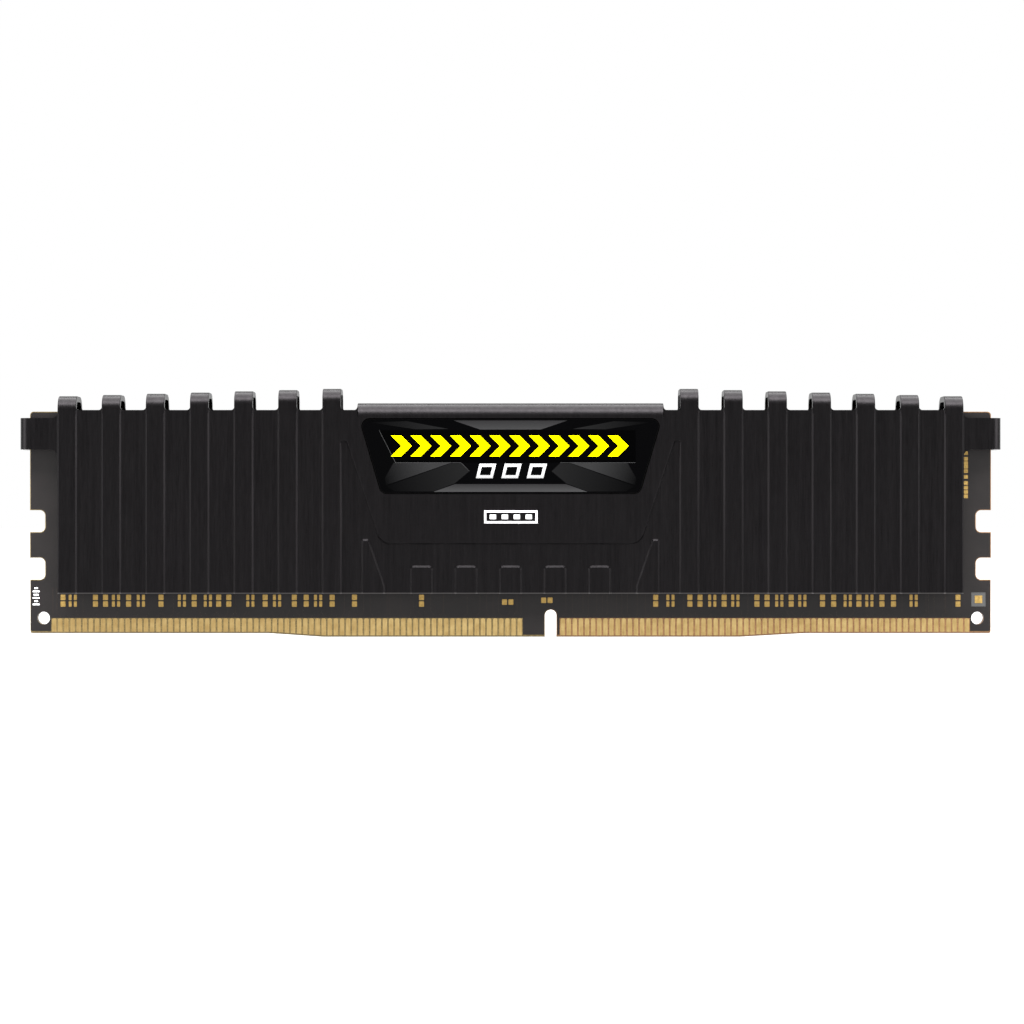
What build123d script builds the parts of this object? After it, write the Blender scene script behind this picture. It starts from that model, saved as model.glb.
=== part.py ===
from build123d import *
import os
from math import atan, degrees, hypot

# Memory module with a pressed two-plate heat spreader, in millimetres.
# X runs along the module, the front faces -Y and Z points up.
# The origin is the middle of the board's insertion edge, on the board's mid-plane.

# ---- Driving dimensions ----

# Board
BOARD_LENGTH = 133.35
BOARD_HEIGHT = 31.25
BOARD_THICKNESS = 1.4
BOARD_TOP_RADIUS = 0.5      # rounding of the upper corners
BOARD_FOOT_RADIUS = 0.3     # rounding of the lower corners
COATING = 0.05              # thickness of the solder mask and of the contact plating
MASK_SETBACK = 0.1          # the solder mask stops this far inside the board's outline
EDGE_RISE = 0.5             # the insertion edge is this much higher at both ends
LEFT_SLOPE = (26.0, 33.6)   # where the edge starts and stops rising, left of the middle
RIGHT_SLOPE = (31.8, 40.9)
BEVEL = 0.2
KEY_X = 5.575
KEY_WIDTH = 1.6
KEY_TOP = 3.75
LATCH_NOTCH_HEIGHTS = (9.45, 16.05)
LATCH_NOTCH_DEPTH = 2.1
LATCH_NOTCH_OPENING = 3.05
LATCH_NOTCH_RADIUS = 0.75
HOLE_X = 64.8
HOLE_Z = 2.6
HOLE_RADIUS = 0.875

# Edge contacts
CONTACT_PITCH = 0.85
CONTACT_WIDTH = 0.6
CONTACT_TOP = 2.57
CONTACT_TOP_RADIUS = 0.22
FIRST_CONTACT_INSET = 3.35  # from the board's end to the middle of the first contact
LEFT_CONTACTS = 77
RIGHT_CONTACTS = 67
WINDOW_MARGIN = 0.13        # from the end contacts to the ends of the mask's opening
WINDOW_RISE = 0.05          # from the contacts' tops to the top of the mask's opening

# Bare lands on the front
PAD_THICKNESS = 0.03
PAD_RADIUS = 0.1
PAD_CLEARANCE = 0.03        # the mask stands off each land by this much
PAD_ROWS = (4.55, 5.47)
SINGLE_PAD = (0.68, 0.74)
PAIR_PAD = (0.4, 0.74)
PAIR_SPACING = 0.72
SINGLE_PADS_X = (
    -62.1, -57.6, -56.2, -53, -48.5, -43.9, -40.5,
    -39.1, -34.05, -30, -28.35, -24.75, -21.65, -12.35,
    20.15, 24.9, 26.3, 29.65, 34.2, 35.6, 38.95,
    43.3, 44.85, 48.35, 51.55, 53.15, 62.1)
PAIR_PADS_X = (
    -60.75, -54.75, -51.3, -45.6, -42, -36.1, -32.4, -26.7,
    22.2, 28, 31.2, 37.3, 40.5, 46.8, 49.8, 55.95)
SIDE_BY_SIDE_PADS = ((-0.39, 4.82), (5.05, 5.07))
SIDE_BY_SIDE_SPACING = 0.88
END_PAD = (0.55, 0.5)
END_PAD_X = 63.2
END_PAD_HEIGHTS = (19.5, 20.1, 20.7, 21.35, 22.2, 23.0, 23.6, 24.1, 24.7, 25.5)
FIDUCIAL = (64.95, 5.2)
FIDUCIAL_PAD = 1.05
FIDUCIAL_OPENING = 2.0

# Heat spreader plates. The two are mirror images about the board's mid-plane.
SHEET = 0.8
INNER_DEPTH = 2.45          # from the board's mid-plane to a plate's inner face
RELIEF = 0.25               # height of the pressed ridges
SLOPE = 0.25                # width of a ridge's sloping side
RIDGE_EDGE = 0.12           # rounding of a ridge's upper edge
PLATE_HALF_LENGTH = 62.5
PLATE_BOTTOM = 6.05
PLATE_TOP = 31.4
MEETING_GAP = 0.05          # from the mid-plane to the end of a plate's bent-over edges
TOP_BEND_RADIUS = 2.0       # outer radius of the tabs' and the flange's bends
EAR_BEND_RADIUS = 1.2
OVERSHOOT = 2.0             # ridges are drawn this far past the plate's edges, then cut there
OVERLAP = 0.5               # bent strips reach this far down into the flat sheet

# Tabs along the top, counted from each end towards the middle
TAB_COUNT = 7
TAB_PITCH = 6.09
TAB_WIDTH = 2.55
END_TAB_TOP = 33.36
TAB_TOP_STEP = 0.17         # each tab stands this much higher than its outer neighbour
TAB_ROOT_RADIUS = 0.45
STRIP_EDGE = 0.12           # rounding along the outer edges of the tabs and the flange

# Flange over the centre panel
FLANGE_HALF_LENGTH = 21.15
FLANGE_TOP = 32.38

# Ears that wrap round the board's ends
EAR_END = 67.78
EAR_BOTTOM = 25.95
EAR_TOP = 30.3
EAR_TOP_FILLET = 0.8
EAR_BOTTOM_FILLET = 1.1
EAR_TIP_RADIUS = 0.4

# Centre panel, a raised trapezoid that runs into the innermost tab bands
PANEL_BOTTOM = 12.85
PANEL_BOTTOM_HALF = 18.0
PANEL_CORNER_RADIUS = 2.0
APEX_Z = 27.0               # top of the low wedge between the panel and the innermost band
APEX_WIDTH = 0.55
APEX_RADIUS = 0.2

# Pressed spikes and arches below the panel
SPIKE_OUTER_X = 20.6
SPIKE_INNER_X = 17.3
SPIKE_TOP = 13.6
SPIKE_TOP_WIDTH = 1.05
SPIKE_FOOT_Z = 7.05         # where the sloping side meets the upright inner side
SPIKE_RADIUS = 0.4
ARCH_PITCH = 6.15
ARCH_COUNT = 5
ARCH_WIDTH = 3.2
ARCH_TOP = 9.95
ARCH_RADIUS = 0.65

# Badge and the pocket that it lies in
BADGE_TOP = 30.1
BADGE_BOTTOM = 19.95
BADGE_TOP_HALF = 20.75
BADGE_BOTTOM_HALF = 17.75
BADGE_RADIUS = 1.0
BADGE_THICKNESS = 0.2
POCKET_DEPTH = 0.3
POCKET_SLOPE = 0.12
BADGE_CLEARANCE = 0.05
POCKET_BACKING = 1.0        # the sheet stays flat this far around the pocket

# Memory chips on the rear
CHIP_COUNT = 8
CHIP_PITCH = 13.6
MIDDLE_GAP = 22.8           # between the middles of the two chips next to the board's centre
CHIP_WIDTH = 7.5
CHIP_HEIGHT = 11.0
CHIP_Z = 17.5
CHIP_BODY = 0.95
CHIP_CORNER_RADIUS = 0.15
BALL_STANDOFF = 0.25
BALL_RADIUS = 0.22
BALL_PITCH = 0.8
BALL_ROWS = 13
BALL_COLUMNS = (-4, -3, -2, 2, 3, 4)    # in ball pitches from the chip's middle

# Spacer and tape
SPACER_HALF_LENGTH = 58.0
SPACER_SPAN = (9.5, 26.0)
TAPE_HALF_LENGTH = 60.0
TAPE_SPAN = (11.0, 24.0)
STRIP_CORNER_RADIUS = 0.5

# Small parts on the rear
CAP_SIZE = (0.5, 0.5, 1.0)              # along X, Y and Z
CAP_TERMINAL = 0.22
CAP_HEIGHTS = (12.2, 14.8, 17.4, 20.0, 22.6)
CAP_COLUMN_OFFSET = 1.1
END_CAP_SHIFT = 0.5                     # the outermost columns stand closer to the end chips
ARRAY_SIZE = (2.0, 0.45, 0.6)
ARRAY_Z = 4.85
ARRAY_LEADS = 4
ARRAY_LEAD_PITCH = 0.5
ARRAY_LEAD = (0.3, 0.35, 0.22)
ARRAY_OFFSET = 1.9                      # of each of a chip's two arrays from the chip's middle
TERMINATION_HEIGHTS = (19.8, 21.1, 22.4, 23.7, 25.0)
MEMO_SIZE = (3.0, 0.55, 2.0)            # the configuration memory chip
MEMO_Z = 11.5
MEMO_LEAD = (0.25, 0.1, 0.35)
MEMO_LEAD_PITCH = 0.65

# ---- Sizes that follow ----

HALF_LENGTH = BOARD_LENGTH / 2
BOARD_FACE = BOARD_THICKNESS / 2
LAMINATE_FACE = BOARD_FACE - COATING
LOW_FACE = INNER_DEPTH + SHEET          # a plate's outer face between its ridges
HIGH_FACE = LOW_FACE + RELIEF           # the ridges' outer face
RIDGE_TAPER = degrees(atan(SLOPE / RELIEF))
POCKET_TAPER = degrees(atan(POCKET_SLOPE / POCKET_DEPTH))
BELOW_PLATE = PLATE_BOTTOM - OVERSHOOT
ABOVE_PLATE = PLATE_TOP + OVERSHOOT
BAND_WIDTH = TAB_WIDTH + SLOPE
CHIP_BASE = BOARD_FACE + BALL_STANDOFF
CHIP_TOP = CHIP_BASE + CHIP_BODY
TOLERANCE = 0.01                        # for picking out edges and corners by their place


# ---- Helpers ----

def front_prism(outline, near, far, taper=0.0):
    """A solid over an outline drawn in X and Z, from one depth in front of the mid-plane to another."""
    return extrude(Plane.XZ.offset(near) * outline, far - near, taper=taper)


def rear_box(centre_x, centre_z, size, base):
    """A box that stands on the rear side, its base at the given depth behind the mid-plane."""
    width, depth, height = size
    return Pos(centre_x, base + depth / 2, centre_z) * Box(width, depth, height)


def polygon(*points):
    return make_face(Polyline(*points, close=True))


def rear_copy(part):
    return mirror(part, about=Plane.XZ)


def edge_rise(x):
    """Height of the insertion edge above its lowest stretch, at a place along the board."""
    start, end = LEFT_SLOPE if x < 0 else RIGHT_SLOPE
    share = (abs(x) - start) / (end - start)
    return EDGE_RISE * min(1.0, max(0.0, share))


def chip_places():
    """The middle of each memory chip along the board, from left to right."""
    right = [MIDDLE_GAP / 2 + CHIP_PITCH * index for index in range(CHIP_COUNT // 2)]
    return sorted([-x for x in right] + right)


# ---- Board ----

def board_outline(lift=0.0):
    """The board's outline, with its lower edge lifted by the given amount."""
    left_start, left_end = LEFT_SLOPE
    right_start, right_end = RIGHT_SLOPE
    outline = polygon(
        (-HALF_LENGTH, EDGE_RISE + lift),
        (-left_end, EDGE_RISE + lift),
        (-left_start, lift),
        (right_start, lift),
        (right_end, EDGE_RISE + lift),
        (HALF_LENGTH, EDGE_RISE + lift),
        (HALF_LENGTH, BOARD_HEIGHT),
        (-HALF_LENGTH, BOARD_HEIGHT))
    outline = fillet(outline.vertices().group_by(Axis.Y)[-1], BOARD_TOP_RADIUS)
    ends = [
        v for v in outline.vertices()
        if abs(v.X) > HALF_LENGTH - TOLERANCE and v.Y < HOLE_Z]
    outline = fillet(ends, BOARD_FOOT_RADIUS)
    key_height = KEY_TOP + KEY_WIDTH
    outline -= Pos(KEY_X, KEY_TOP - key_height / 2) * SlotOverall(key_height, KEY_WIDTH, rotation=90)
    for side in (-1, 1):
        outline -= Pos(side * HOLE_X, HOLE_Z) * Circle(HOLE_RADIUS)
        for height in LATCH_NOTCH_HEIGHTS:
            outline -= Pos(side * HALF_LENGTH, height) * RectangleRounded(
                2 * LATCH_NOTCH_DEPTH, LATCH_NOTCH_OPENING, LATCH_NOTCH_RADIUS)
    return outline


def pcb_core():
    core = front_prism(board_outline(), -LAMINATE_FACE, LAMINATE_FACE)
    insertion_edges = [
        edge for edge in core.edges()
        if abs(edge.center().Z - edge_rise(edge.center().X)) < TOLERANCE
        and abs(abs(edge.center().Y) - LAMINATE_FACE) < TOLERANCE
        and edge.length > KEY_WIDTH]
    return chamfer(insertion_edges, BEVEL)


def contact_places():
    """The middle of each edge contact along the board."""
    first = -HALF_LENGTH + FIRST_CONTACT_INSET
    left = [first + CONTACT_PITCH * index for index in range(LEFT_CONTACTS)]
    right = [-first - CONTACT_PITCH * index for index in range(RIGHT_CONTACTS)]
    return left + sorted(right)


def contact_outline(x):
    half = CONTACT_WIDTH / 2
    low = max(edge_rise(x - half), edge_rise(x + half)) + BEVEL
    contact = Pos(x, (low + CONTACT_TOP) / 2) * Rectangle(CONTACT_WIDTH, CONTACT_TOP - low)
    return fillet(contact.vertices().group_by(Axis.Y)[-1], CONTACT_TOP_RADIUS)


def edge_contacts():
    return Compound([
        front_prism(contact_outline(x), LAMINATE_FACE, BOARD_FACE).solid() for x in contact_places()])


def contact_window():
    """The mask's opening over each block of contacts."""
    places = contact_places()
    blocks = (places[:LEFT_CONTACTS], places[LEFT_CONTACTS:])
    window = Sketch()
    for block in blocks:
        width = block[-1] - block[0] + CONTACT_WIDTH + 2 * WINDOW_MARGIN
        middle = (block[-1] + block[0]) / 2
        window += Pos(middle, 0) * Rectangle(width, 2 * (CONTACT_TOP + WINDOW_RISE))
    return window


def land_places():
    """Each bare land on the front as its middle and size."""
    lands = [((x, z), SINGLE_PAD) for x in SINGLE_PADS_X for z in PAD_ROWS]
    lands += [
        ((x + side * PAIR_SPACING / 2, z), PAIR_PAD)
        for x in PAIR_PADS_X for z in PAD_ROWS for side in (-1, 1)]
    lands += [
        ((x + side * SIDE_BY_SIDE_SPACING / 2, z), SINGLE_PAD)
        for x, z in SIDE_BY_SIDE_PADS for side in (-1, 1)]
    return lands


def end_land_places():
    return [((END_PAD_X, z), END_PAD) for z in END_PAD_HEIGHTS]


def land(place, size, margin=0.0):
    return Pos(*place) * RectangleRounded(size[0] + 2 * margin, size[1] + 2 * margin, PAD_RADIUS)


def lands(places):
    return Compound([
        front_prism(land(place, size), LAMINATE_FACE, LAMINATE_FACE + PAD_THICKNESS).solid()
        for place, size in places])


def fiducial_pad():
    square = Pos(*FIDUCIAL) * Rectangle(FIDUCIAL_PAD, FIDUCIAL_PAD)
    return front_prism(square, LAMINATE_FACE, LAMINATE_FACE + PAD_THICKNESS)


def mask_outline():
    """The coated part of the board: all but a narrow rim and the edge contacts.

    Round the tooling holes the coating reaches the hole, so the hole's wall is one straight bore.
    """
    sheet = offset(board_outline(BEVEL), -MASK_SETBACK)
    collar = Circle(HOLE_RADIUS + 2 * MASK_SETBACK) - Circle(HOLE_RADIUS)
    for side in (-1, 1):
        sheet += Pos(side * HOLE_X, HOLE_Z) * collar
    return sheet - contact_window()


def front_solder_mask():
    openings = [land(place, size, PAD_CLEARANCE) for place, size in land_places() + end_land_places()]
    openings.append(Pos(*FIDUCIAL) * Rectangle(FIDUCIAL_OPENING, FIDUCIAL_OPENING))
    return front_prism(mask_outline() - openings, LAMINATE_FACE, BOARD_FACE)


def rear_solder_mask():
    return rear_copy(front_prism(mask_outline(), LAMINATE_FACE, BOARD_FACE))


# ---- Heat spreader ----

def tab_middles():
    return [PLATE_HALF_LENGTH - TAB_WIDTH / 2 - TAB_PITCH * index for index in range(TAB_COUNT)]


def band_outline(middle):
    """The foot of the raised band below a tab."""
    height = ABOVE_PLATE - BELOW_PLATE
    return Pos(middle, BELOW_PLATE + height / 2) * Rectangle(BAND_WIDTH, height)


def panel_outline():
    """The foot of the centre panel and of the two innermost bands, which it runs into."""
    band_outer = tab_middles()[-1] + BAND_WIDTH / 2
    band_inner = tab_middles()[-1] - BAND_WIDTH / 2
    right = [
        (PANEL_BOTTOM_HALF, PANEL_BOTTOM),
        (band_inner - APEX_WIDTH, APEX_Z),
        (band_inner, APEX_Z),
        (band_inner, BELOW_PLATE),
        (band_outer, BELOW_PLATE),
        (band_outer, ABOVE_PLATE)]
    left = [(-x, z) for x, z in reversed(right)]
    outline = polygon(*right, *left)
    corners = outline.vertices().filter_by(lambda v: abs(v.Y - PANEL_BOTTOM) < TOLERANCE)
    outline = fillet(corners, PANEL_CORNER_RADIUS)
    apexes = outline.vertices().filter_by(lambda v: abs(v.Y - APEX_Z) < TOLERANCE)
    return fillet(apexes, APEX_RADIUS)


def spike_outline():
    spike = polygon(
        (SPIKE_OUTER_X, BELOW_PLATE),
        (SPIKE_OUTER_X, SPIKE_TOP),
        (SPIKE_OUTER_X - SPIKE_TOP_WIDTH, SPIKE_TOP),
        (SPIKE_INNER_X, SPIKE_FOOT_Z),
        (SPIKE_INNER_X, BELOW_PLATE))
    return fillet(spike.vertices().group_by(Axis.Y)[-1], SPIKE_RADIUS)


def arch_outline(middle):
    height = ARCH_TOP - BELOW_PLATE
    arch = Pos(middle, BELOW_PLATE + height / 2) * Rectangle(ARCH_WIDTH, height)
    return fillet(arch.vertices().group_by(Axis.Y)[-1], ARCH_RADIUS)


def ridge_outlines():
    """The foot of every raised region, for the whole plate."""
    outlines = [panel_outline()]
    for middle in tab_middles()[:-1]:
        outlines += [band_outline(middle), band_outline(-middle)]
    outlines += [spike_outline(), mirror(spike_outline(), about=Plane.YZ)]
    for index in range(ARCH_COUNT):
        outlines.append(arch_outline(ARCH_PITCH * (index - (ARCH_COUNT - 1) / 2)))
    return outlines


def badge_outline(margin=0.0):
    badge = polygon(
        (BADGE_BOTTOM_HALF, BADGE_BOTTOM),
        (BADGE_TOP_HALF, BADGE_TOP),
        (-BADGE_TOP_HALF, BADGE_TOP),
        (-BADGE_BOTTOM_HALF, BADGE_BOTTOM))
    badge = fillet(badge.vertices(), BADGE_RADIUS)
    return offset(badge, margin) if margin else badge


def ridge(outline):
    """One raised region, with sloping sides and a rounded upper edge."""
    body = front_prism(outline, LOW_FACE, HIGH_FACE, taper=RIDGE_TAPER)
    upper_face = body.faces().sort_by(Axis.Y)[0]
    return fillet(upper_face.edges(), RIDGE_EDGE)


def hollow(outline):
    """The matching recess that the press leaves in the plate's inner face."""
    return front_prism(offset(outline, -SLOPE), INNER_DEPTH, INNER_DEPTH + RELIEF, taper=RIDGE_TAPER)


def plate_silhouette():
    """The flat part of the plate seen from the front: sheet, ears and tab roots."""
    height = PLATE_TOP - PLATE_BOTTOM
    sheet = Pos(0, PLATE_BOTTOM + height / 2) * Rectangle(2 * PLATE_HALF_LENGTH, height)
    ear_height = EAR_TOP - EAR_BOTTOM
    ear_middle = EAR_BOTTOM + ear_height / 2
    sheet += Pos(0, ear_middle) * Rectangle(2 * (EAR_END - EAR_BEND_RADIUS), ear_height)
    for corner_z, radius in ((EAR_TOP, EAR_TOP_FILLET), (EAR_BOTTOM, EAR_BOTTOM_FILLET)):
        corners = [
            v for v in sheet.vertices()
            if abs(abs(v.X) - PLATE_HALF_LENGTH) < TOLERANCE and abs(v.Y - corner_z) < TOLERANCE]
        sheet = fillet(corners, radius)
    return sheet


def bent_profile(face, end, turn, radius):
    """Section of a sheet edge that bends back to the mid-plane.

    Drawn with the depth behind the plate's face along the first axis. `face` is the sheet's outer
    face, `end` the outermost line of the bend, `turn` where the section starts and `radius` the
    bend's outer radius.
    """
    bend = end - radius
    outer = [
        Line((-face, turn), (-face, bend)),
        RadiusArc((-face, bend), (-face + radius, end), radius),
        Line((-face + radius, end), (-MEETING_GAP, end)),
        Line((-MEETING_GAP, end), (-MEETING_GAP, end - SHEET)),
        Line((-MEETING_GAP, end - SHEET), (-face + radius, end - SHEET)),
        RadiusArc((-face + radius, end - SHEET), (-face + SHEET, bend), SHEET - radius),
        Line((-face + SHEET, bend), (-face + SHEET, turn)),
        Line((-face + SHEET, turn), (-face, turn))]
    return make_face(Curve() + outer)


def bent_strip(middle, width, top):
    """A tab or the flange: it stands up from the raised face and bends back over the board."""
    bend = top - TOP_BEND_RADIUS
    profile = bent_profile(HIGH_FACE, top, min(bend, PLATE_TOP) - OVERLAP, TOP_BEND_RADIUS)
    body = Plane.YZ.offset(middle - width / 2) * extrude(profile, width)

    def on_outer_surface(point):
        ahead = max(0.0, TOP_BEND_RADIUS - HIGH_FACE - point.Y)
        above = max(0.0, point.Z - bend)
        return hypot(ahead, above) > TOP_BEND_RADIUS - SHEET / 4

    outer_edges = [
        edge for edge in body.edges()
        if abs(abs(edge.center().X - middle) - width / 2) < TOLERANCE and on_outer_surface(edge.center())]
    return fillet(outer_edges, STRIP_EDGE)


def root_fillet(edge, outward, face):
    """The rounded root beside a tab's edge, on the plate's top edge; outward is +1 or -1 along X."""
    radius = TAB_ROOT_RADIUS
    square = Pos(edge + outward * radius / 2, PLATE_TOP + radius / 2) * Rectangle(radius, radius)
    outline = square - Pos(edge + outward * radius, PLATE_TOP + radius) * Circle(radius)
    return front_prism(outline, face - SHEET / 2, face)


def right_tabs():
    """The tabs right of the middle, with their roots. The last one stands beside the raised panel."""
    solids = []
    for index, middle in enumerate(tab_middles()):
        solids.append(bent_strip(middle, TAB_WIDTH, END_TAB_TOP + TAB_TOP_STEP * index))
        if index > 0:
            solids.append(root_fillet(middle + TAB_WIDTH / 2, 1, LOW_FACE))
        inner_face = HIGH_FACE if index == TAB_COUNT - 1 else LOW_FACE
        solids.append(root_fillet(middle - TAB_WIDTH / 2, -1, inner_face))
    return solids


def ear(side):
    """The bent end of an ear. The profile lies in the plan view and is drawn up the ear's height."""
    profile = bent_profile(
        LOW_FACE, EAR_END, EAR_END - EAR_BEND_RADIUS - OVERLAP, EAR_BEND_RADIUS)
    height = EAR_TOP - EAR_BOTTOM
    plan = Plane(origin=(0, 0, EAR_BOTTOM), x_dir=(0, 1, 0), z_dir=(0, 0, -1))
    body = plan * extrude(profile, -height)
    tips = [edge for edge in body.edges().filter_by(Axis.X) if edge.center().Y > -2 * MEETING_GAP]
    body = fillet(tips, EAR_TIP_RADIUS)
    return body if side > 0 else mirror(body, about=Plane.YZ)


def flange_gap():
    """Where the flat sheet gives way to the flange's bend."""
    bend = FLANGE_TOP - TOP_BEND_RADIUS
    height = PLATE_TOP - bend
    return Pos(0, bend + height / 2) * Rectangle(2 * FLANGE_HALF_LENGTH, height)


def front_heat_spreader():
    plate = front_prism(plate_silhouette(), INNER_DEPTH, LOW_FACE)
    limits = front_prism(plate_silhouette(), INNER_DEPTH, HIGH_FACE)
    flat_around_badge = badge_outline(POCKET_BACKING)
    ridges = [ridge(outline) & limits for outline in ridge_outlines()]
    plate = plate + ridges
    for outline in ridge_outlines():
        plate -= hollow(outline) - front_prism(flat_around_badge, 0, HIGH_FACE)
    right = right_tabs() + [root_fillet(FLANGE_HALF_LENGTH, 1, LOW_FACE)]
    plate += right + [mirror(solid, about=Plane.YZ) for solid in right]
    plate -= front_prism(flange_gap(), 0, HIGH_FACE)
    plate += bent_strip(0, 2 * FLANGE_HALF_LENGTH, FLANGE_TOP)
    plate += [ear(-1), ear(1)]
    floor = HIGH_FACE - POCKET_DEPTH
    plate -= front_prism(badge_outline(BADGE_CLEARANCE), floor, HIGH_FACE, taper=-POCKET_TAPER)
    return plate


def label(thickness):
    floor = HIGH_FACE - POCKET_DEPTH
    return front_prism(badge_outline(), floor, floor + thickness)


# ---- Spacer, tape and parts on the rear ----

def strip(half_length, span, near, far):
    height = span[1] - span[0]
    outline = Pos(0, span[0] + height / 2) * RectangleRounded(2 * half_length, height, STRIP_CORNER_RADIUS)
    return front_prism(outline, near, far)


def memory_chip(x):
    body = rear_box(x, CHIP_Z, (CHIP_WIDTH, CHIP_BODY, CHIP_HEIGHT), CHIP_BASE)
    return fillet(body.edges().filter_by(Axis.Y), CHIP_CORNER_RADIUS)


def solder_balls(x):
    rows = [BALL_PITCH * (index - (BALL_ROWS - 1) / 2) for index in range(BALL_ROWS)]
    ball = Rot(90, 0, 0) * Cylinder(BALL_RADIUS, BALL_STANDOFF)
    depth = BOARD_FACE + BALL_STANDOFF / 2
    return Compound([
        Pos(x + BALL_PITCH * column, depth, CHIP_Z + row) * ball
        for column in BALL_COLUMNS for row in rows])


def capacitor_places():
    """Columns of capacitors in the gaps between chips and beyond the end chips."""
    chips = chip_places()
    gap = CHIP_PITCH / 2
    columns = [chips[0] - gap + END_CAP_SHIFT, chips[-1] + gap - END_CAP_SHIFT]
    columns += [x + gap for x in chips[:-1] if abs(x + gap) > gap]
    return [
        (x + side * CAP_COLUMN_OFFSET, z)
        for x in columns for side in (-1, 1) for z in CAP_HEIGHTS]


def chip_component(places, size, terminal, ends):
    """Bodies or end terminals of small two-ended parts that stand along Z on the rear."""
    width, depth, height = size
    solids = []
    for x, z in places:
        if not ends:
            solids.append(rear_box(x, z, (width, depth, height - 2 * terminal), BOARD_FACE))
            continue
        for side in (-1, 1):
            end_z = z + side * (height - terminal) / 2
            solids.append(rear_box(x, end_z, (width, depth, terminal), BOARD_FACE))
    return Compound(solids)


def array_places():
    return [x + side * ARRAY_OFFSET for x in chip_places() for side in (-1, 1)]


def resistor_array_bodies():
    return Compound([rear_box(x, ARRAY_Z, ARRAY_SIZE, BOARD_FACE) for x in array_places()])


def resistor_array_terminals():
    offsets = [ARRAY_LEAD_PITCH * (index - (ARRAY_LEADS - 1) / 2) for index in range(ARRAY_LEADS)]
    reach = (ARRAY_SIZE[2] + ARRAY_LEAD[2]) / 2
    return Compound([
        rear_box(x + step, ARRAY_Z + side * reach, ARRAY_LEAD, BOARD_FACE)
        for x in array_places() for step in offsets for side in (-1, 1)])


def configuration_memory():
    return rear_box(0, MEMO_Z, MEMO_SIZE, BOARD_FACE + MEMO_LEAD[1])


def configuration_memory_lands():
    offsets = [MEMO_LEAD_PITCH * (index - 1.5) for index in range(4)]
    reach = (MEMO_SIZE[2] - MEMO_LEAD[2]) / 2
    return Compound([
        rear_box(step, MEMO_Z + side * reach, MEMO_LEAD, BOARD_FACE)
        for step in offsets for side in (-1, 1)])


# ---- Every node, one file each ----

def build():
    end_places = [(END_PAD_X, z) for z in TERMINATION_HEIGHTS]
    caps = capacitor_places()
    front_plate = front_heat_spreader()
    contacts = edge_contacts()
    nodes = {
        "pcb_core": pcb_core(),
        "front_solder_mask": front_solder_mask(),
        "rear_solder_mask": rear_solder_mask(),
        "front_edge_contacts": contacts,
        "rear_edge_contacts": rear_copy(contacts),
        "front_component_lands": lands(land_places()),
        "front_end_lands": lands(end_land_places()),
        "fiducial_pad": fiducial_pad(),
        "front_heat_spreader": front_plate,
        "rear_heat_spreader": rear_copy(front_plate),
        "front_badge": label(BADGE_THICKNESS),
        "rear_label": rear_copy(label(BADGE_THICKNESS)),
        "front_foam_spacer": strip(SPACER_HALF_LENGTH, SPACER_SPAN, BOARD_FACE, INNER_DEPTH),
        "rear_thermal_tape": rear_copy(strip(TAPE_HALF_LENGTH, TAPE_SPAN, CHIP_TOP, INNER_DEPTH)),
        "capacitor_bodies": chip_component(caps, CAP_SIZE, CAP_TERMINAL, ends=False),
        "capacitor_terminals": chip_component(caps, CAP_SIZE, CAP_TERMINAL, ends=True),
        "resistor_array_bodies": resistor_array_bodies(),
        "resistor_array_terminals": resistor_array_terminals(),
        "termination_resistor_bodies": chip_component(end_places, CAP_SIZE, CAP_TERMINAL, ends=False),
        "termination_resistor_terminals": chip_component(end_places, CAP_SIZE, CAP_TERMINAL, ends=True),
        "configuration_memory": configuration_memory(),
        "configuration_memory_lands": configuration_memory_lands(),
    }
    for number, x in enumerate(chip_places(), start=1):
        nodes[f"memory_chip_{number}"] = memory_chip(x)
        nodes[f"memory_chip_{number}_balls"] = solder_balls(x)
    return nodes


os.makedirs("parts", exist_ok=True)
for name, shape in build().items():
    export_step(shape, f"parts/{name}.step")
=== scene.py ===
import math
import random

import bmesh
import bpy
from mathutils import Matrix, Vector


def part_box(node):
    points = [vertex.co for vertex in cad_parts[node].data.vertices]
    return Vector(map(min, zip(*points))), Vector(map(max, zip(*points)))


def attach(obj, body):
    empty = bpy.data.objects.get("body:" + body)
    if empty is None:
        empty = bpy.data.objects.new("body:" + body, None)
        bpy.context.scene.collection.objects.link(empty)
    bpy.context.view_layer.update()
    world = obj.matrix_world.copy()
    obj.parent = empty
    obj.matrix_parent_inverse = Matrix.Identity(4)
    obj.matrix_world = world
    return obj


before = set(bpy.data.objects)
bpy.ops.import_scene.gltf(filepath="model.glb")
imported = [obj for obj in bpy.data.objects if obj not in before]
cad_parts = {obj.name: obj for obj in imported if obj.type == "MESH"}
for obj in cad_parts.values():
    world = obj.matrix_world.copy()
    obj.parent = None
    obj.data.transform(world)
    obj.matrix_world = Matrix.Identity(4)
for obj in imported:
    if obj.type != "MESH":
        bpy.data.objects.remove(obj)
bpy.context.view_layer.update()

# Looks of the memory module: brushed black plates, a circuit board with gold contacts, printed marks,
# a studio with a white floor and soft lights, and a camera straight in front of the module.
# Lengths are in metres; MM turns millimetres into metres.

MM = 0.001

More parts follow.
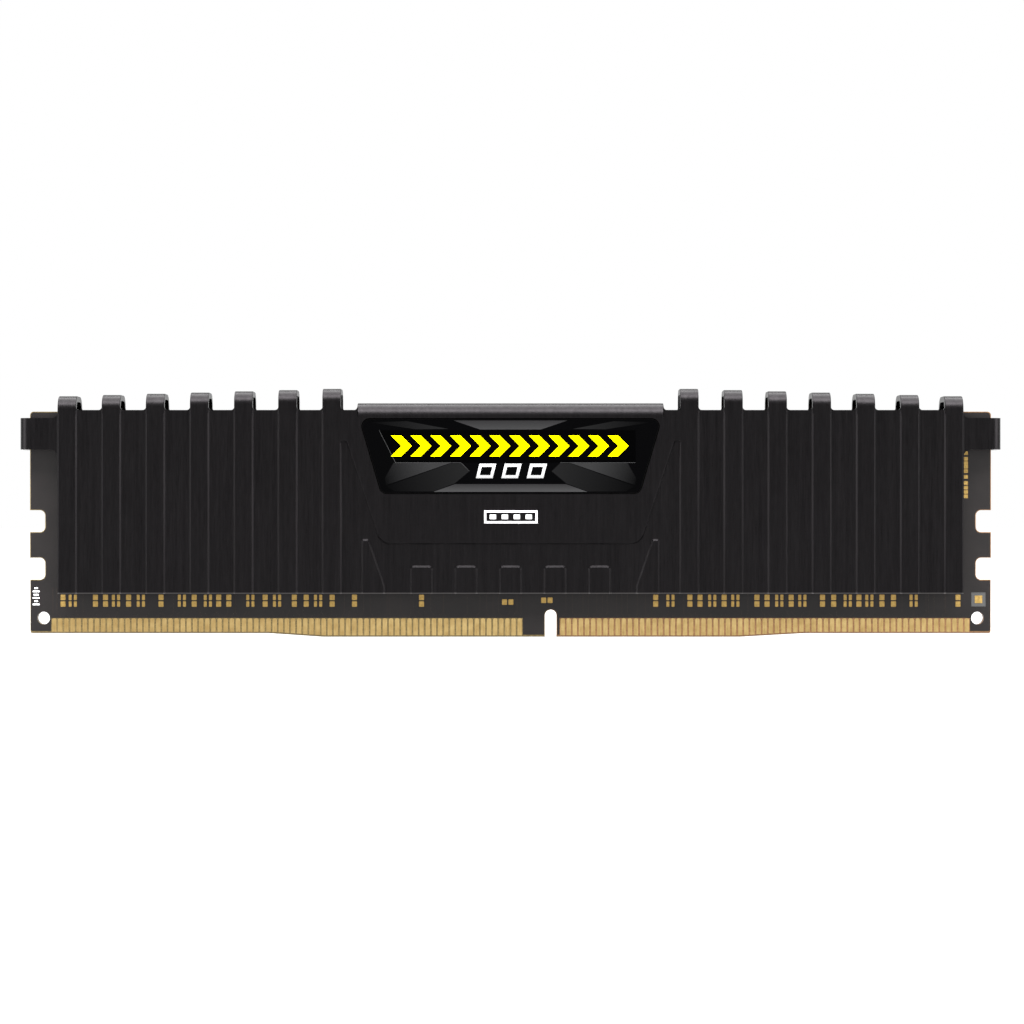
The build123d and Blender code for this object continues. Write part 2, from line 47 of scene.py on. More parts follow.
# Places taken from the CAD model
BADGE_LOW, BADGE_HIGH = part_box("front_badge")
LABEL_LOW, LABEL_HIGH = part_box("rear_label")
CONTACTS_LOW, CONTACTS_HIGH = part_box("front_edge_contacts")
FIDUCIAL_LOW, FIDUCIAL_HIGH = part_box("fiducial_pad")
FIDUCIAL_X = (FIDUCIAL_LOW.x + FIDUCIAL_HIGH.x) / 2
FIDUCIAL_Z = (FIDUCIAL_LOW.z + FIDUCIAL_HIGH.z) / 2
BOARD_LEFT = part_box("pcb_core")[0].x
BOARD_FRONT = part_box("front_solder_mask")[0].y
PLATE_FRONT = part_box("front_heat_spreader")[0].y
PLATE_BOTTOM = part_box("front_heat_spreader")[0].z

# Edge contacts
CONTACT_PITCH = 0.85 * MM
CONTACT_WIDTH = 0.6 * MM
LEFT_CONTACTS = 77
RIGHT_CONTACTS = 67
KEY_X = 5.575 * MM

# Tracks and vias on the board
TRACK_SEED = 7
TRACK_WIDTH = 0.09 * MM
TRACK_RISE = 0.004 * MM
TRACK_END = 3.75 * MM       # where a track stops that would run into a land
UNDER_PLATE = 0.8 * MM      # how far a free track goes on above the plate's lower edge
VIA_RADIUS = 0.13 * MM
LAND_GRID = 0.1 * MM
LAND_CLEARANCE = 4          # in steps of the grid

# Printing
INK = 0.006 * MM            # thickness of printed ink
FACET = 0.01 * MM           # how far a badge facet stands proud
BAND = 1.5 * FACET          # the same for the band behind the yellow mark
HAIRLINE = 0.045 * MM
CHEVRON_COUNT = 12
CHEVRON_PITCH = 2.72 * MM
CHEVRON_REACH = 1.45 * MM
CHEVRON_STROKE = 1.4 * MM
CHEVRON_SHIFT = -0.1 * MM
RING_COUNT = 3
RING_PITCH = 3.5 * MM
RING_WIDTH = 2.3 * MM
RING_SLANT = 0.5 * MM
RING_STROKE = 0.42 * MM
RING_SHIFT = 0.13 * MM
PICTOGRAM = (0.05 * MM, 16.65 * MM)
PICTOGRAM_SIZE = (7.35 * MM, 1.75 * MM)
PICTOGRAM_STROKE = 0.27 * MM
PICTOGRAM_CHIPS = 4
PICTOGRAM_CHIP = (0.85 * MM, 0.6 * MM)
PICTOGRAM_PITCH = 1.65 * MM
LABEL_SEED = 11
BAR_COUNT = 22
BAR_PITCH = 0.6 * MM
BAR_WIDTHS = (0.15, 0.25, 0.4)                  # millimetres
LINE_LENGTHS = (11.0, 8.5, 10.0)                # millimetres
LINE_PITCH = 1.5 * MM
TICK_LENGTHS = (0.95, 0.5, 0.95, 0.7, 0.95, 0.5)    # millimetres
TICK_PITCH = 0.45 * MM
TICK_HEIGHT = 0.2 * MM
TICK_START = 4.4 * MM
TICK_INSET = 0.85 * MM

# Studio and camera
FLOOR_HALF = 3.0
FLOOR_DROP = 0.2 * MM       # keeps the floor just clear of the board's lower edge
CAMERA_DISTANCE = 0.46
CAMERA_PLACE = (0.208 * MM, 17.32 * MM)         # along X and up
WIDTH_SEEN = 142.1 * MM     # at the board's front face
SENSOR = 36.0


# ---- Shader helpers ----

class Shader:
    """A material with a Principled shader, and short ways to feed it patterns in the model's coordinates.

    The colour and roughness given first are the plain ones; patterns linked afterwards take their place.
    """

    def __init__(self, name, colour, roughness, metallic=0.0, specular=0.5):
        self.material = bpy.data.materials.new(name)
        self.material.use_nodes = True
        self.nodes = self.material.node_tree.nodes
        self.links = self.material.node_tree.links
        self.surface = self.nodes["Principled BSDF"]
        self.place = self.nodes.new("ShaderNodeTexCoord").outputs["Object"]
        self.set("Base Color", (*colour, 1.0))
        self.set("Roughness", roughness)
        self.set("Metallic", metallic)
        self.set("Specular IOR Level", specular)

    def set(self, socket, value):
        self.surface.inputs[socket].default_value = value

    def link(self, output, socket):
        self.links.new(output, self.surface.inputs[socket])

    def scaled(self, cell):
        """The place divided by a cell size in metres along X, Y and Z."""
        mapping = self.nodes.new("ShaderNodeMapping")
        mapping.inputs["Scale"].default_value = [1.0 / size for size in cell]
        self.links.new(self.place, mapping.inputs["Vector"])
        return mapping.outputs["Vector"]

    def noise(self, cell, detail=3.0, roughness=0.55):
        node = self.nodes.new("ShaderNodeTexNoise")
        node.inputs["Scale"].default_value = 1.0
        node.inputs["Detail"].default_value = detail
        node.inputs["Roughness"].default_value = roughness
        self.links.new(self.scaled(cell), node.inputs["Vector"])
        return node.outputs["Fac"]

    def cells(self, cell):
        """Distance from the nearest of many scattered points."""
        node = self.nodes.new("ShaderNodeTexVoronoi")
        node.inputs["Scale"].default_value = 1.0
        self.links.new(self.scaled(cell), node.inputs["Vector"])
        return node.outputs["Distance"]

    def axis(self, letter):
        split = self.nodes.new("ShaderNodeSeparateXYZ")
        self.links.new(self.place, split.inputs[0])
        return split.outputs[letter]

    def remap(self, value, low, high, to_low=0.0, to_high=1.0):
        node = self.nodes.new("ShaderNodeMapRange")
        node.inputs["From Min"].default_value = low
        node.inputs["From Max"].default_value = high
        node.inputs["To Min"].default_value = to_low
        node.inputs["To Max"].default_value = to_high
        self.links.new(value, node.inputs["Value"])
        return node.outputs["Result"]

    def math(self, operation, first, second):
        node = self.nodes.new("ShaderNodeMath")
        node.operation = operation
        for value, socket in zip((first, second), node.inputs):
            if isinstance(value, (int, float)):
                socket.default_value = value
            else:
                self.links.new(value, socket)
        return node.outputs[0]

    def mix(self, factor, first, second):
        """Mixes two colours, given as RGB or as sockets."""
        node = self.nodes.new("ShaderNodeMix")
        node.data_type = "RGBA"
        self.links.new(factor, node.inputs["Factor"])
        for value, socket in zip((first, second), (node.inputs["A"], node.inputs["B"])):
            if isinstance(value, tuple):
                socket.default_value = (*value, 1.0)
            else:
                self.links.new(value, socket)
        return node.outputs["Result"]

    def bump(self, height, strength, distance):
        node = self.nodes.new("ShaderNodeBump")
        node.inputs["Strength"].default_value = strength
        node.inputs["Distance"].default_value = distance
        self.links.new(height, node.inputs["Height"])
        if self.surface.inputs["Normal"].is_linked:
            self.links.new(self.surface.inputs["Normal"].links[0].from_socket, node.inputs["Normal"])
        self.link(node.outputs["Normal"], "Normal")


# ---- Materials ----

def brushed_black():
    """Black anodised aluminium, brushed vertically, with a few fine pale specks, and a painted highlight
    along its lower edge.
    """
    shader = Shader("brushed_black_aluminium", (0.016, 0.0155, 0.017), 0.42, metallic=1.0)
    fine = shader.noise((0.07 * MM, 0.07 * MM, 2.2 * MM), detail=4.0, roughness=0.65)
    broad = shader.noise((0.5 * MM, 0.5 * MM, 14.0 * MM), detail=2.0)
    grain = shader.noise((0.09 * MM, 0.09 * MM, 0.12 * MM), detail=2.0)
    streaks = shader.math("ADD", shader.math("MULTIPLY", fine, 0.6), shader.math("MULTIPLY", broad, 0.4))
    tone = shader.math("ADD", shader.math("MULTIPLY", streaks, 0.75), shader.math("MULTIPLY", grain, 0.25))
    colour = shader.mix(shader.remap(tone, 0.36, 0.66), (0.0068, 0.0063, 0.0067), (0.0134, 0.0124, 0.0131))
    speck = shader.remap(shader.cells((0.55 * MM, 0.55 * MM, 0.8 * MM)), 0.045, 0.02)
    colour = shader.mix(speck, colour, (0.027, 0.0255, 0.0265))
    # Painted highlight: a lighter band along the plate's lower edge stands in for light caught by that
    # edge.
    lower_edge_highlight = shader.remap(shader.axis("Z"), PLATE_BOTTOM + 0.16 * MM, PLATE_BOTTOM + 0.1 * MM)
    shader.link(shader.mix(lower_edge_highlight, colour, (0.055, 0.052, 0.052)), "Base Color")
    shader.link(shader.remap(fine, 0.3, 0.7, 0.27, 0.39), "Roughness")
    shader.bump(fine, 0.22, 0.01 * MM)
    shader.bump(grain, 0.12, 0.008 * MM)
    return shader.material


def solder_mask():
    """Dark grey-brown mask over copper planes, slightly blotchy, with a soft orange-peel surface."""
    shader = Shader("dark_solder_mask", (0.02, 0.018, 0.017), 0.42, specular=0.22)
    blotch = shader.noise((6.0 * MM, 6.0 * MM, 6.0 * MM), detail=3.0)
    grain = shader.noise((0.12 * MM, 0.12 * MM, 0.12 * MM), detail=3.0)
    uneven = shader.remap(blotch, 0.35, 0.65)
    colour = shader.mix(uneven, (0.0045, 0.0036, 0.0036), (0.0078, 0.0062, 0.0061))
    colour = shader.mix(shader.remap(grain, 0.3, 0.8, 0.0, 0.3), colour, (0.012, 0.0095, 0.0092))
    shader.link(colour, "Base Color")
    shader.link(shader.remap(grain, 0.3, 0.7, 0.36, 0.5), "Roughness")
    shader.bump(grain, 0.15, 0.01 * MM)
    return shader.material


def laminate():
    """Woven glass laminate: olive left of the key, browner right of it, and grey round the fiducial."""
    shader = Shader("glass_laminate", (0.16, 0.10, 0.03), 0.5, specular=0.3)
    warp = shader.noise((0.45 * MM, 3.0 * MM, 0.16 * MM), detail=2.0)
    weft = shader.noise((0.16 * MM, 3.0 * MM, 0.45 * MM), detail=2.0)
    fibre = shader.math("MULTIPLY", shader.math("ADD", warp, weft), 0.5)
    left = shader.mix(shader.remap(fibre, 0.38, 0.6), (0.085, 0.058, 0.02), (0.16, 0.115, 0.04))
    right = shader.mix(shader.remap(fibre, 0.38, 0.6), (0.125, 0.058, 0.022), (0.21, 0.11, 0.042))
    colour = shader.mix(shader.remap(shader.axis("X"), KEY_X - MM, KEY_X + MM), left, right)
    across = shader.math("ABSOLUTE", shader.math("SUBTRACT", shader.axis("X"), FIDUCIAL_X), 0.0)
    up = shader.math("ABSOLUTE", shader.math("SUBTRACT", shader.axis("Z"), FIDUCIAL_Z), 0.0)
    grey_field = shader.remap(shader.math("MAXIMUM", across, up), 1.2 * MM, 1.1 * MM)
    shader.link(shader.mix(grey_field, colour, (0.045, 0.045, 0.045)), "Base Color")
    shader.bump(fibre, 0.3, 0.02 * MM)
    return shader.material


def gold():
    """Hard gold plating: satin, with faint vertical polishing lines, a slightly uneven tone, and painted
    shade darkening it towards the left end.
    """
    shader = Shader("gold_plating", (0.72, 0.5, 0.19), 0.34, metallic=1.0)
    lines = shader.noise((0.05 * MM, 0.4 * MM, 1.6 * MM), detail=3.0)
    patch = shader.noise((1.1 * MM, 2.0 * MM, 1.1 * MM), detail=2.0)
    tone = shader.math("ADD", shader.math("MULTIPLY", lines, 0.5), shader.math("MULTIPLY", patch, 0.5))
    colour = shader.mix(shader.remap(tone, 0.35, 0.65), (0.305, 0.205, 0.078), (0.455, 0.333, 0.143))
    # Painted shade: the contacts are darkened towards the left end, where less light falls.
    left_end_shade = shader.remap(shader.axis("X"), -15 * MM, -60 * MM, 0.0, 0.3)
    shader.link(shader.mix(left_end_shade, colour, (0.22, 0.14, 0.05)), "Base Color")
    shader.link(shader.remap(lines, 0.3, 0.7, 0.26, 0.42), "Roughness")
    shader.bump(lines, 0.2, 0.006 * MM)
    return shader.material


def land_gold_shaded():
    """Thin immersion gold on the bare lands: duller and browner than the edge contacts, partly from its
    own finish and partly from painted shade cast by the plate above them.
    """
    shader = Shader("land_gold_shaded", (0.42, 0.28, 0.09), 0.5, metallic=1.0)
    patch = shader.noise((0.35 * MM, 0.35 * MM, 0.35 * MM), detail=3.0)
    # These darker tones are partly the lands' own finish and partly painted shade from the plate.
    colour = shader.mix(shader.remap(patch, 0.3, 0.7), (0.25, 0.165, 0.052), (0.40, 0.27, 0.09))
    shader.link(colour, "Base Color")
    shader.link(shader.remap(patch, 0.3, 0.7, 0.42, 0.58), "Roughness")
    shader.bump(patch, 0.2, 0.01 * MM)
    return shader.material


def bright_tin(name="bright_tin", tone=0.6):
    """Solder or tin plating, slightly blotchy."""
    shader = Shader(name, (tone, tone, tone * 1.02), 0.3, metallic=1.0)
    blotch = shader.noise((0.2 * MM, 0.2 * MM, 0.2 * MM), detail=3.0)
    dark = (tone * 0.8, tone * 0.8, tone * 0.83)
    light = (tone * 1.1, tone * 1.1, tone * 1.12)
    shader.link(shader.mix(shader.remap(blotch, 0.3, 0.7), dark, light), "Base Color")
    shader.link(shader.remap(blotch, 0.3, 0.7, 0.22, 0.42), "Roughness")
    shader.bump(blotch, 0.25, 0.02 * MM)
    return shader.material


def grainy(name, dark, light, roughness, cell, specular=0.3, bump=0.25):
    """A matt material with a fine two-tone grain, for epoxy, ceramic, foam, tape and film."""
    shader = Shader(name, light, roughness, specular=specular)
    grain = shader.noise((cell, cell, cell), detail=4.0, roughness=0.65)
    shader.link(shader.mix(shader.remap(grain, 0.35, 0.65), dark, light), "Base Color")
    shader.link(shader.remap(grain, 0.3, 0.7, roughness - 0.06, roughness + 0.06), "Roughness")
    shader.bump(grain, bump, cell * 0.2)
    return shader.material


def graded(name, start, end, dark, light):
    """A thin film whose tone fades along the line from start to end, given in X and Z; on the badge facets
    the fade is painted shading.
    """
    shader = Shader(name, light, 0.35, specular=0.0)
    run = Vector(end) - Vector(start)
    across, up = run / run.length_squared
    sideways = shader.math("MULTIPLY", shader.math("SUBTRACT", shader.axis("X"), start[0]), across)
    upwards = shader.math("MULTIPLY", shader.math("SUBTRACT", shader.axis("Z"), start[1]), up)
    along = shader.math("ADD", sideways, upwards)
    grain = shader.noise((0.06 * MM, 0.06 * MM, 0.06 * MM), detail=2.0)
    tone = shader.math("ADD", along, shader.remap(grain, 0.3, 0.7, -0.08, 0.08))
    shader.link(shader.mix(shader.remap(tone, 0.0, 1.0), dark, light), "Base Color")
    return shader.material


def ink_white():
    known = bpy.data.materials.get("ink_white")
    return known or grainy("ink_white", (0.82, 0.82, 0.82), (0.95, 0.95, 0.95), 0.5, 0.08 * MM, 0.2, 0.05)


# ---- Mesh helpers ----

def thin_shapes(name, outlines, face, thickness, material):
    """Thin solids over outlines given in X and Z, standing out of a face towards the front or the rear.

    `face` is the surface's Y; a negative one faces the front, and the shapes grow away from the module.
    """
    side = -1 if face < 0 else 1
    work = bmesh.new()
    for outline in outlines:
        under = [work.verts.new((x, face, z)) for x, z in outline]
        over = [work.verts.new((x, face + side * thickness, z)) for x, z in outline]
        work.faces.new(over)
        work.faces.new(list(reversed(under)))
        for index in range(len(outline)):
            following = (index + 1) % len(outline)
            work.faces.new((under[index], under[following], over[following], over[index]))
    bmesh.ops.recalc_face_normals(work, faces=work.faces[:])
    mesh = bpy.data.meshes.new(name)
    work.to_mesh(mesh)
    work.free()
    piece = bpy.data.objects.new(name, mesh)
    bpy.context.scene.collection.objects.link(piece)
    mesh.materials.append(material)
    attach(piece, "root")


def ring(middle, low, high, width, stroke, slant=0.0):
    """Four strips that make a rectangular ring, which leans to the right by `slant` over its height."""
    lean = slant / (high - low)
    left, right = -width / 2, width / 2

    def strip(x0, z0, x1, z1):
        corners = ((x0, z0), (x1, z0), (x1, z1), (x0, z1))
        return [(middle + x + lean * (z - (low + high) / 2), z) for x, z in corners]

    return [
        strip(left, low, right, low + stroke),
        strip(left, high - stroke, right, high),
        strip(left, low + stroke, left + stroke, high - stroke),
        strip(right - stroke, low + stroke, right, high - stroke)]


def block(middle, low, width, height):
    """An upright rectangle; `middle` is along X and `low` is its lower edge."""
    left, right = middle - width / 2, middle + width / 2
    return [(left, low), (right, low), (right, low + height), (left, low + height)]


def spread(count, pitch):
    """Places of equal pitch on either side of zero."""
    return [pitch * (index - (count - 1) / 2) for index in range(count)]


# ---- Badge ----

def badge_place(across, up):
    """A point on the badge, from shares of its half width at the top and of its height."""
    middle = (BADGE_LOW.x + BADGE_HIGH.x) / 2
    half = (BADGE_HIGH.x - BADGE_LOW.x) / 2
    return middle + across * half, BADGE_LOW.z + up * (BADGE_HIGH.z - BADGE_LOW.z)


def badge_height(up):
    return badge_place(0, up)[1]


def badge_facets():
    """Dark facets on the badge, as thin films: one at the top, one along the bottom, and mirrored ones at
    the sides. Their tones are painted shading: each fades from dim to lit across it, and the facets differ
    in level as lit and shaded faces would.
    """
    black = (0.0004, 0.0004, 0.0005)
    near_black = (0.0008, 0.0008, 0.0009)
    dark = (0.012, 0.0115, 0.012)

    def facet(word, outline, start, end, dim, level):
        # Painted shading: the film fades from dim to lit, as light falls across a tilted face.
        lit = (level, level, level * 1.02)
        material = graded(f"badge_{word}", badge_place(*start), badge_place(*end), dim, lit)
        corners = [badge_place(*point) for point in outline]
        thin_shapes(f"badge_facet_{word}", [corners], BADGE_LOW.y, FACET, material)

    top = ((-0.385, 0.985), (-0.205, 0.862), (0.205, 0.862), (0.385, 0.985))
    bottom = ((-0.52, 0.015), (-0.375, 0.12), (0.375, 0.12), (0.52, 0.015))
    facet("top", top, (0.0, 1.0), (0.0, 0.86), dark, 0.024)
    facet("bottom", bottom, (0.0, 0.13), (0.0, 0.0), dark, 0.032)
    for side, word in ((-1, "left"), (1, "right")):
        def mirrored(*points):
            return [(side * across, up) for across, up in points]

        wedge = mirrored((0.79, 0.41), (0.402, 0.41), (0.843, 0.105), (0.85, 0.2))
        blade = mirrored(
            (0.402, 0.404), (0.336, 0.404), (0.278, 0.295), (0.377, 0.13), (0.52, 0.02), (0.78, 0.02),
            (0.84, 0.09))
        wing = mirrored((0.96, 0.96), (0.7, 0.975), (0.42, 0.87), (0.64, 0.865))
        facet(f"wedge_{word}", wedge, *mirrored((0.87, 0.15), (0.55, 0.4)), black, 0.017)
        facet(f"blade_{word}", blade, *mirrored((0.86, 0.0), (0.3, 0.35)), near_black, 0.0065)
        facet(f"wing_{word}", wing, *mirrored((0.95, 0.97), (0.45, 0.87)), near_black, 0.0075)


def badge_band():
    """The plain black field behind the yellow mark, with hairlines along its edges."""
    black = grainy(
        "band_black", (0.0002, 0.0002, 0.0002), (0.0008, 0.0008, 0.0009), 0.3, 0.05 * MM, 0.0, 0.02)
    grey = grainy("hairline_grey", (0.025, 0.025, 0.025), (0.045, 0.045, 0.046), 0.4, 0.1 * MM, 0.0, 0.02)
    field = [badge_place(*p) for p in ((-0.887, 0.852), (-0.776, 0.414), (0.845, 0.414), (0.845, 0.852))]
    thin_shapes("badge_band", [field], BADGE_LOW.y, BAND, black)

    (left_top, top), (left, low), (right, _), _ = field
    under = low - HAIRLINE
    tip_x, tip_z = badge_place(-0.278, 0.295)
    shoulder = badge_place(-0.336, 0.404)[0]
    strips = [
        [(left_top - HAIRLINE, top), (left - HAIRLINE, under), (left, low), (left_top, top)],
        [(left - HAIRLINE, under), (shoulder, under), (shoulder, low), (left, low)],
        [(-shoulder, under), (right, under), (right, low), (-shoulder, low)],
        [(shoulder, under), (tip_x, tip_z), (tip_x + HAIRLINE, tip_z), (shoulder + HAIRLINE, low)]]
    thin_shapes("badge_hairline", strips, BADGE_LOW.y, BAND, grey)


def chevron(middle, low, high):
    """A right-pointing chevron as an upper and a lower arm."""
    half_height = (low + high) / 2
    left = middle - (CHEVRON_REACH + CHEVRON_STROKE) / 2
    notch, elbow, tip = left + CHEVRON_REACH, left + CHEVRON_STROKE, left + CHEVRON_STROKE + CHEVRON_REACH
    return [
        [(left, low), (elbow, low), (tip, half_height), (notch, half_height)],
        [(notch, half_height), (tip, half_height), (elbow, high), (left, high)]]


def badge_marks():
    """Generic marks: a yellow row of chevrons, and three small grey rings below it."""
    yellow = grainy("ink_yellow", (0.93, 0.83, 0.0), (1.0, 0.92, 0.0), 0.4, 0.08 * MM, 0.0, 0.02)
    low, high = badge_height(0.497), badge_height(0.78)
    chevrons = []
    for x in spread(CHEVRON_COUNT, CHEVRON_PITCH):
        chevrons += chevron(x + CHEVRON_SHIFT, low, high)
    thin_shapes("badge_yellow_mark", chevrons, BADGE_LOW.y - BAND, INK, yellow)

    low, high = badge_height(0.2), badge_height(0.397)
    grey = graded("ink_grey", (0.0, low), (0.0, high), (0.24, 0.24, 0.24), (0.55, 0.55, 0.56))
    rings = []
    for x in spread(RING_COUNT, RING_PITCH):
        rings += ring(x + RING_SHIFT, low, high, RING_WIDTH, RING_STROKE, RING_SLANT)
    thin_shapes("badge_grey_mark", rings, BADGE_LOW.y, INK + FACET, grey)


# ---- Marks elsewhere ----

def plate_mark():
    """A white pictogram on the plate below the badge: a small module with four chips."""
    x, z = PICTOGRAM
    width, height = PICTOGRAM_SIZE
    chip_width, chip_height = PICTOGRAM_CHIP
    shapes = ring(x, z - height / 2, z + height / 2, width, PICTOGRAM_STROKE)
    for step in spread(PICTOGRAM_CHIPS, PICTOGRAM_PITCH):
        shapes.append(block(x + step, z - chip_height / 2, chip_width, chip_height))
    thin_shapes("plate_white_mark", shapes, PLATE_FRONT, INK / 2, ink_white())


def label_mark():
    """Neutral printing on the rear label: a block of upright bars and three plain lines."""
    grey = grainy("label_print_grey", (0.015, 0.015, 0.015), (0.03, 0.03, 0.03), 0.5, 0.1 * MM, 0.2, 0.05)
    middle_x = (LABEL_LOW.x + LABEL_HIGH.x) / 2
    middle_z = (LABEL_LOW.z + LABEL_HIGH.z) / 2
    chance = random.Random(LABEL_SEED)
    shapes = []
    for index in range(BAR_COUNT):
        width = chance.choice(BAR_WIDTHS) * MM
        shapes.append(block(middle_x + 3 * MM + BAR_PITCH * index, middle_z - 1.6 * MM, width, 4 * MM))
    for index, length in enumerate(LINE_LENGTHS):
        low = middle_z + 1.4 * MM - LINE_PITCH * index
        shapes.append(block(middle_x - 8 * MM, low, length * MM, 0.6 * MM))
    thin_shapes("rear_label_print", shapes, LABEL_HIGH.y, INK, grey)


def board_mark():
    """Short white ticks up the board's left edge, in place of a production code."""
    shapes = []
    for index, length in enumerate(TICK_LENGTHS):
        low = TICK_START + TICK_PITCH * index
        shapes.append(block(BOARD_LEFT + TICK_INSET, low, length * MM, TICK_HEIGHT))
    thin_shapes("board_white_mark", shapes, BOARD_FRONT, INK, ink_white())


# ---- Tracks on the board ----

def contact_places():
    """The middle of each edge contact along the board."""
    first = CONTACTS_LOW.x + CONTACT_WIDTH / 2
    last = CONTACTS_HIGH.x - CONTACT_WIDTH / 2
    left = [first + CONTACT_PITCH * index for index in range(LEFT_CONTACTS)]
    right = [last - CONTACT_PITCH * index for index in range(RIGHT_CONTACTS)]
    return left + right


def ribbon(points, width):
    """Quads along a run of points in X and Z, one for each stretch, with mitred joints."""
    offsets = []
    for index in range(len(points)):
        before = Vector(points[max(index - 1, 0)])
        after = Vector(points[min(index + 1, len(points) - 1)])
        along = (after - before).normalized()
        offsets.append(Vector((-along.y, along.x)) * width / 2)
    quads = []
    for index in range(len(points) - 1):
        here, there = Vector(points[index]), Vector(points[index + 1])
        quads.append([
            tuple(here - offsets[index]), tuple(there - offsets[index + 1]),
            tuple(there + offsets[index + 1]), tuple(here + offsets[index])])
    return quads


def via(x, z, sides=12):
    turns = [math.tau * index / sides for index in range(sides)]
    return [(x + VIA_RADIUS * math.cos(turn), z + VIA_RADIUS * math.sin(turn)) for turn in turns]


def land_columns():
    """Where lands stand along X, as a set of whole steps of the grid."""
    taken = set()
    for node in ("front_component_lands", "fiducial_pad"):
        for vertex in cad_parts[node].data.vertices:
            taken.add(round(vertex.co.x / LAND_GRID))
    return taken


def is_clear(x, taken):
    place = round(x / LAND_GRID)
    return not any(place + step in taken for step in range(-LAND_CLEARANCE, LAND_CLEARANCE + 1))


def board_tracks():
    """Faint tracks that leave the contacts; where no land is in the way they run up under the plate."""
    copper = grainy(
        "masked_copper", (0.0105, 0.0073, 0.0064), (0.017, 0.0118, 0.0098), 0.4, 0.2 * MM, 0.2, 0.05)
    dark = grainy("via_dark", (0.005, 0.0045, 0.004), (0.01, 0.009, 0.008), 0.4, 0.1 * MM, 0.2, 0.05)
    chance = random.Random(TRACK_SEED)
    taken = land_columns()
    tracks, vias = [], []
    start = CONTACTS_HIGH.z + 0.12 * MM
    for x in contact_places():
        if chance.random() < 0.22:
            vias.append(via(x, start + chance.uniform(0.2, 0.5) * MM))
            continue
        lift = chance.uniform(0.12, 0.4) * MM
        jog = chance.choice((-1, 1)) * chance.uniform(0.15, 0.5) * MM
        knee = start + lift + abs(jog)
        points = [(x, start), (x, start + lift), (x + jog, knee)]
        if is_clear(x + jog, taken):
            points.append((x + jog, PLATE_BOTTOM + UNDER_PLATE))
        elif chance.random() < 0.5:
            points.append((x + jog, TRACK_END))
            vias.append(via(x + jog, TRACK_END))
        else:
            vias.append(via(x + jog, knee))
        tracks += ribbon(points, TRACK_WIDTH)
    thin_shapes("board_tracks", tracks, BOARD_FRONT, TRACK_RISE, copper)
    thin_shapes("board_vias", vias, BOARD_FRONT, TRACK_RISE * 1.5, dark)


# ---- Carried-over CAD nodes ----

def node_materials():
    """The material of each CAD node, other than the memory chips and their solder balls."""
    shared = {
        solder_mask: ("front_solder_mask", "rear_solder_mask"),
        brushed_black: ("front_heat_spreader", "rear_heat_spreader"),
        gold: ("front_edge_contacts", "rear_edge_contacts"),
        land_gold_shaded: ("front_component_lands", "front_end_lands", "fiducial_pad"),
        laminate: ("pcb_core",),
        bright_tin: (
            "capacitor_terminals", "resistor_array_terminals", "termination_resistor_terminals",
            "configuration_memory_lands"),
    }
    chosen = {}
    for make, names in shared.items():
        material = make()
        chosen.update({name: material for name in names})
    glaze = grainy("resistor_glaze", (0.008, 0.008, 0.009), (0.02, 0.02, 0.021), 0.35, 0.1 * MM)
    chosen["resistor_array_bodies"] = glaze
    chosen["termination_resistor_bodies"] = glaze
    chosen["front_badge"] = grainy(
        "badge_black", (0.0004, 0.0004, 0.0005), (0.0014, 0.0014, 0.0015), 0.3, 0.05 * MM, 0.0, 0.02)
    chosen["rear_label"] = grainy(
        "label_film", (0.26, 0.26, 0.26), (0.32, 0.32, 0.32), 0.5, 0.15 * MM, 0.3, 0.08)
    chosen["front_foam_spacer"] = grainy(
        "spacer_foam", (0.012, 0.012, 0.012), (0.035, 0.035, 0.036), 0.8, 0.25 * MM)
    chosen["rear_thermal_tape"] = grainy(
        "thermal_tape", (0.2, 0.21, 0.22), (0.32, 0.33, 0.34), 0.7, 0.2 * MM)
    chosen["capacitor_bodies"] = grainy(
        "capacitor_ceramic", (0.2, 0.12, 0.07), (0.32, 0.21, 0.13), 0.5, 0.1 * MM)
    return chosen


def dress_nodes():
    chosen = node_materials()
    epoxy = grainy("chip_epoxy", (0.012, 0.012, 0.0125), (0.026, 0.026, 0.027), 0.55, 0.07 * MM)
    solder = bright_tin("ball_solder", 0.5)
    for name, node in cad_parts.items():
        if name.endswith("_balls"):
            material = solder
        else:
            material = chosen.get(name, epoxy)
        for slot in node.material_slots:
            slot.material = material


# ---- Studio ----

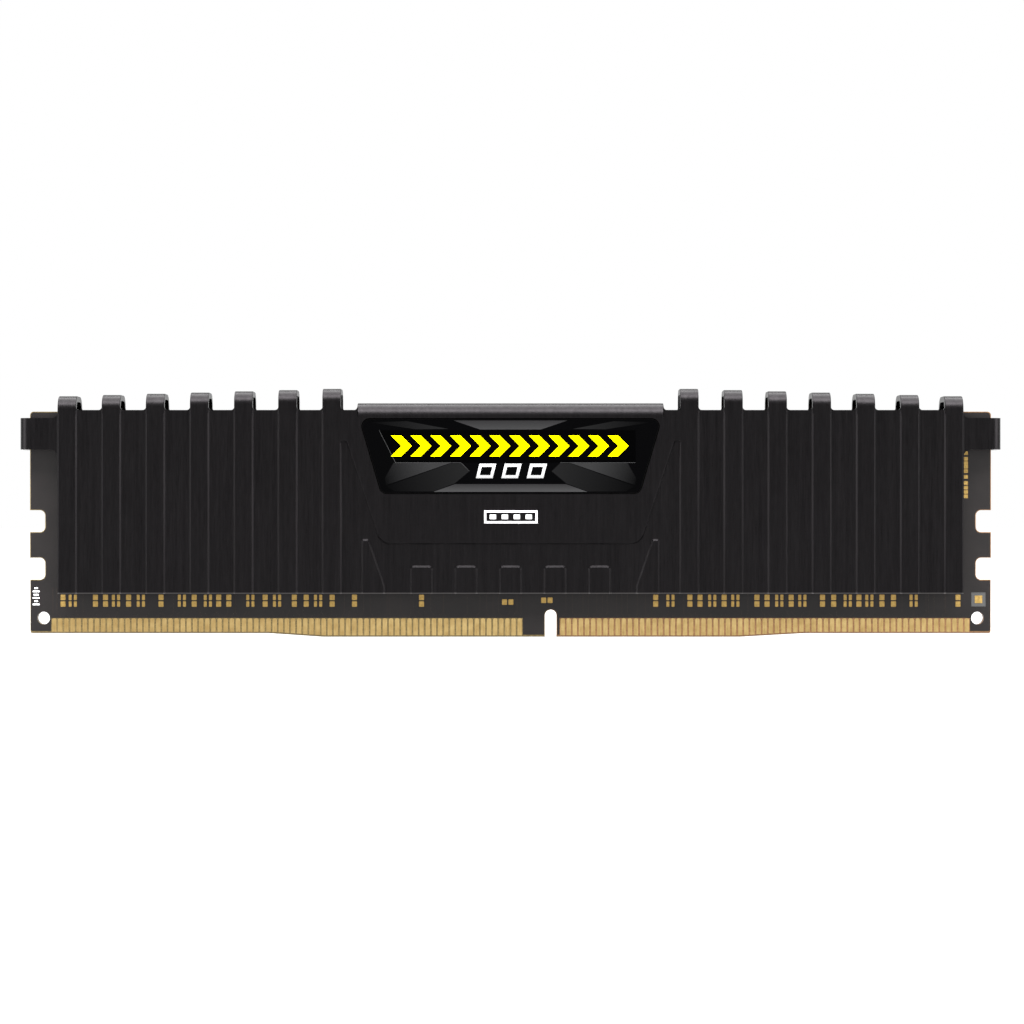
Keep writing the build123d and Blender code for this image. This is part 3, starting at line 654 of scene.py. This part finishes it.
def studio():
    """A white surround and floor, two soft lights overhead and a small one beside each end."""
    world = bpy.data.worlds.new("studio")
    bpy.context.scene.world = world
    world.use_nodes = True
    world.node_tree.nodes["Background"].inputs["Color"].default_value = (1.0, 1.0, 1.0, 1.0)
    world.node_tree.nodes["Background"].inputs["Strength"].default_value = 1.0
    bpy.context.scene.view_settings.view_transform = "Standard"

    floor_mesh = bpy.data.meshes.new("floor")
    corners = ((-1, -1), (1, -1), (1, 1), (-1, 1))
    floor_mesh.from_pydata(
        [(x * FLOOR_HALF, y * FLOOR_HALF, -FLOOR_DROP) for x, y in corners], [], [(0, 1, 2, 3)])
    floor = bpy.data.objects.new("floor", floor_mesh)
    bpy.context.scene.collection.objects.link(floor)
    pale = Shader("pale_floor", (0.15, 0.15, 0.15), 0.9, specular=0.0)
    pale.set("Emission Color", (1.0, 1.0, 1.0, 1.0))
    pale.set("Emission Strength", 1.0)
    floor_mesh.materials.append(pale.material)

    softbox("top_box", (0.0, 0.05, 0.5), (0.0, 0.05, 0.0), 0.7, 0.5, 12.0)
    softbox("front_top_box", (0.0, -0.325, 0.5), (0.0, -0.325, 0.0), 0.7, 0.25, 25.0)
    for side, word in ((-1, "left"), (1, "right")):
        softbox(f"{word}_box", (side * 0.13, -0.045, 0.02), (0.0, -0.03, 0.02), 0.06, 0.1, 7.0)


def softbox(name, place, aim, width, depth, radiance):
    """A soft rectangular light at a place, aimed at another, of the given radiance."""
    lamp = bpy.data.lights.new(name, "AREA")
    lamp.shape = "RECTANGLE"
    lamp.size = width
    lamp.size_y = depth
    lamp.energy = radiance * math.pi * width * depth
    light = bpy.data.objects.new(name, lamp)
    bpy.context.scene.collection.objects.link(light)
    light.location = place
    light.rotation_euler = (Vector(aim) - Vector(place)).to_track_quat("-Z", "Y").to_euler()


def camera():
    """Straight in front of the module, level, and far enough for the gentle perspective of a long lens."""
    lens = bpy.data.cameras.new("camera")
    lens.sensor_width = SENSOR
    lens.lens = SENSOR * CAMERA_DISTANCE / WIDTH_SEEN
    lens.clip_start = 0.01
    lens.clip_end = 20.0
    eye = bpy.data.objects.new("camera", lens)
    bpy.context.scene.collection.objects.link(eye)
    eye.location = (CAMERA_PLACE[0], BOARD_FRONT - CAMERA_DISTANCE, CAMERA_PLACE[1])
    eye.rotation_euler = (math.pi / 2, 0.0, 0.0)
    bpy.context.scene.camera = eye


camera()
studio()
dress_nodes()
badge_facets()
badge_band()
badge_marks()
plate_mark()
label_mark()
board_mark()
board_tracks()
